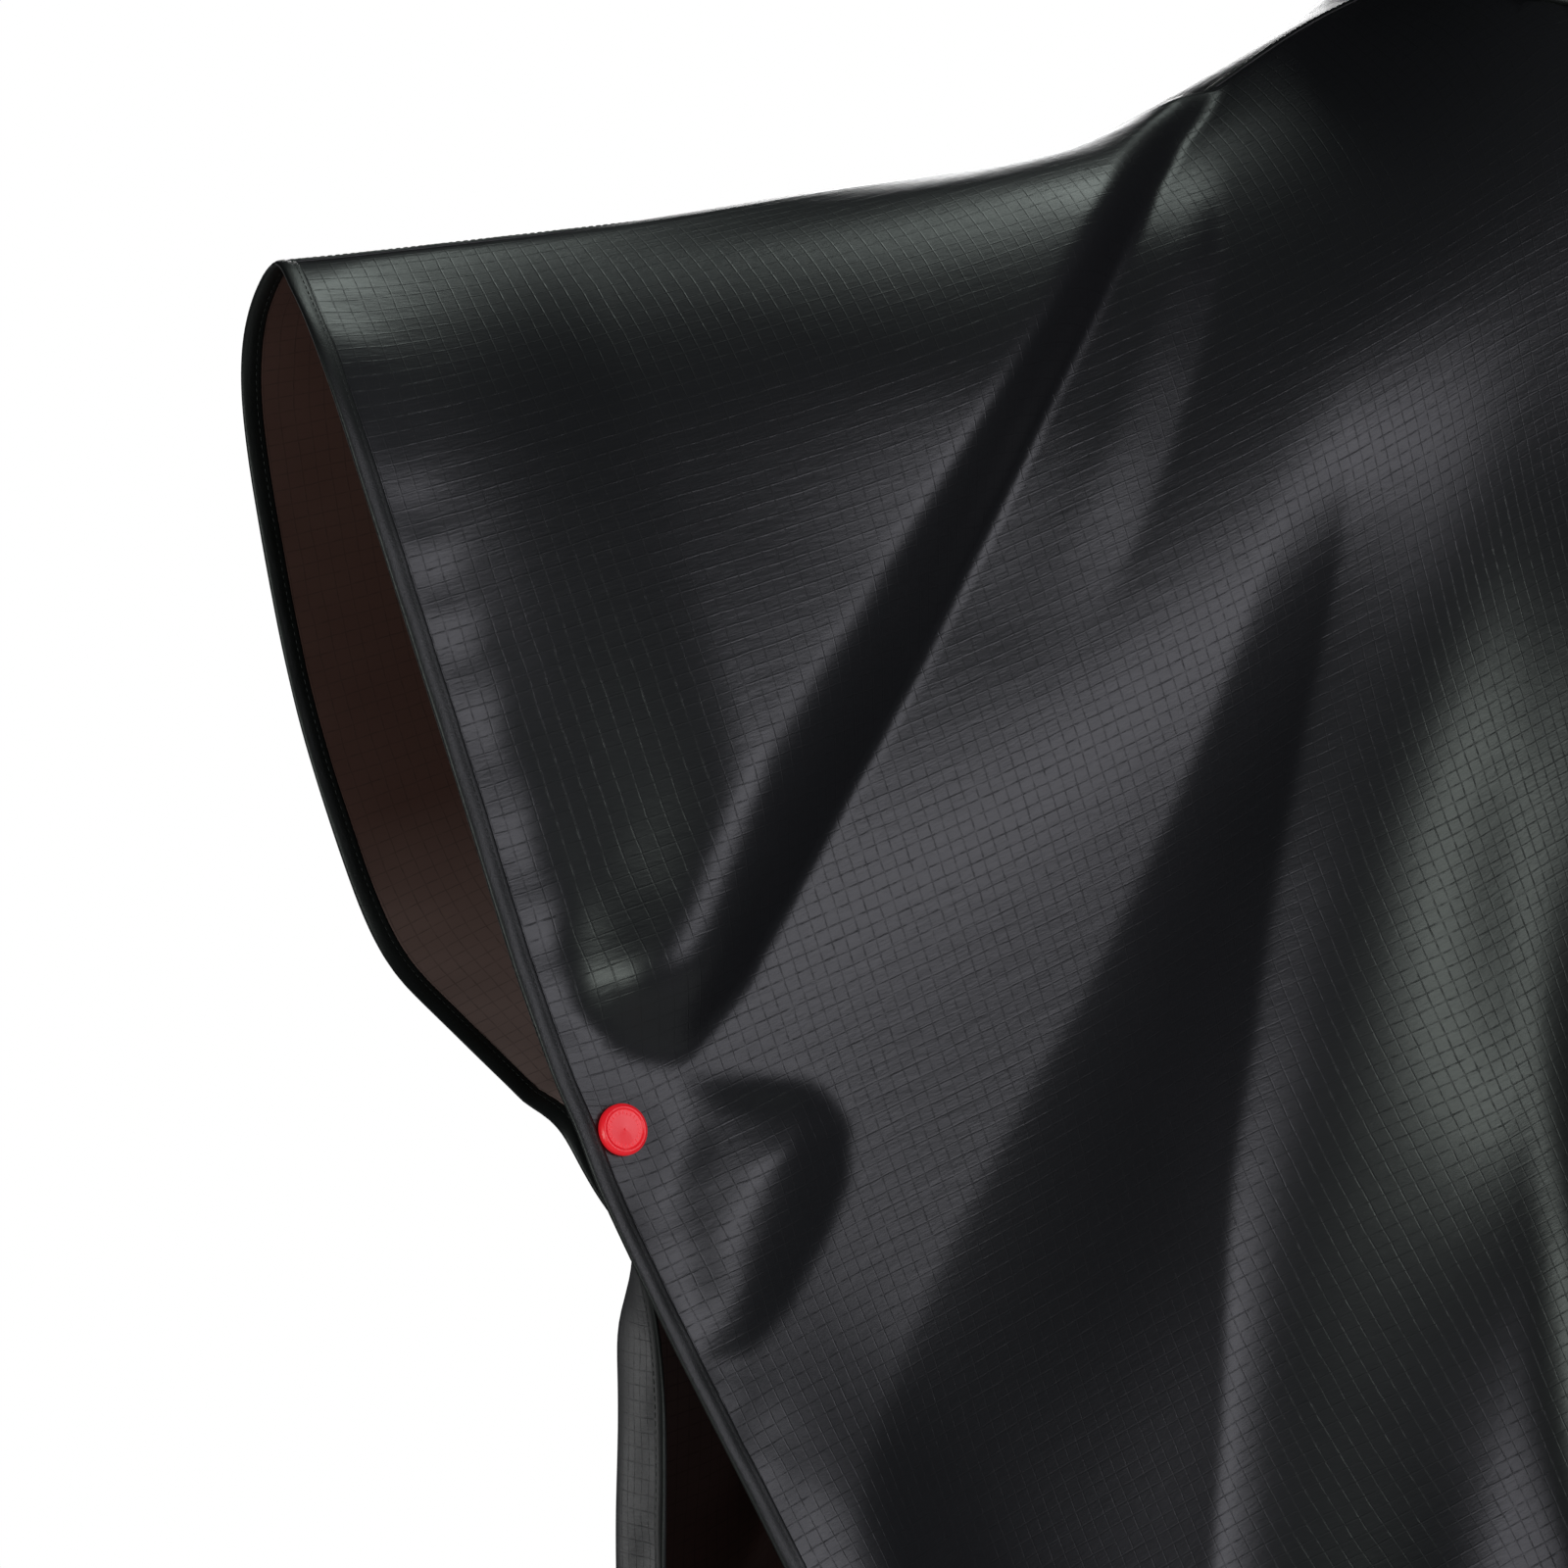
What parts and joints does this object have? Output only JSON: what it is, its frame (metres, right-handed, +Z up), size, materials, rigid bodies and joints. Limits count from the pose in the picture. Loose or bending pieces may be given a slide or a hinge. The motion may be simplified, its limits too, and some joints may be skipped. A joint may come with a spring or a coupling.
{
  "type": "hooded rain poncho",
  "caption": "Hooded rain cape of dark coated ripstop; press studs at the sides close it under the arms to form wide open sleeves.",
  "frame": {"origin": "between the shoulders at the base of the neck, on the line where the cape rests", "axes": "+X to the wearer's left, -Y to the front, +Z up"},
  "size_m": [1.1866, 0.3897, 1.3377],
  "materials": {
    "cloth": "satin",
    "tape": "satin",
    "cap": "gloss",
    "stud": "matte",
    "spring": "satin",
    "label": "matte"
  },
  "bodies": {
    "garment": {"back_panel": "cloth", "front_yoke": "cloth", "back_right_binding": "tape", "back_left_binding": "tape", "back_hem_binding": "tape", "neck_seam": "tape", "left_shoulder_seam": "tape", "right_shoulder_seam": "tape", "side_studs": "stud", "side_stud_rivets": "stud", "back_snap_patches": "tape", "throat_underlap": "cloth", "throat_studs": "stud", "throat_stud_rivets": "stud", "hanger_tacks": "tape", "care_label": "label"},
    "front": {"front_panel": "cloth", "front_right_binding": "tape", "front_left_binding": "tape", "front_hem_binding": "tape", "side_caps": "cap", "side_sockets": "stud", "side_socket_springs": "spring", "front_snap_patches": "tape"},
    "hood": {"hood_left_panel": "cloth", "hood_right_panel": "cloth", "hood_crown_panel": "cloth", "hood_face_binding": "tape", "hood_eyelets": "spring"},
    "brim": {"brim_panel": "cloth", "brim_binding": "tape"},
    "flap": {"throat_flap": "cloth", "throat_flap_binding": "tape", "throat_caps": "cap", "throat_sockets": "stud", "throat_socket_springs": "spring"},
    "loop": {"hanger_loop": "tape"}
  },
  "joints": [
    {"name": "front_lift", "type": "hinge", "parent": "garment", "child": "front", "pos_m": [0, 0, 0], "axis": [-1, 0, 0], "range_deg": [0, 20]},
    {"name": "hood_tip", "type": "hinge", "parent": "garment", "child": "hood", "pos_m": [0, 0.087, 0.0455], "axis": [-1, 0, 0], "range_deg": [0, 75]},
    {"name": "brim_flip", "type": "hinge", "parent": "hood", "child": "brim", "pos_m": [0, -0.073, 0.246], "axis": [-1, 0, 0], "range_deg": [0, 100]},
    {"name": "throat_flap_open", "type": "hinge", "parent": "garment", "child": "flap", "pos_m": [-0.02676, -0.13962, -0.10173], "axis": [0.0014, -0.11, -0.9939], "range_deg": [0, 90]},
    {"name": "hanger_loop_swing", "type": "hinge", "parent": "garment", "child": "loop", "pos_m": [0, 0.08125, 0.03625], "axis": [-1, 0, 0], "range_deg": [0, 75]}
  ]
}
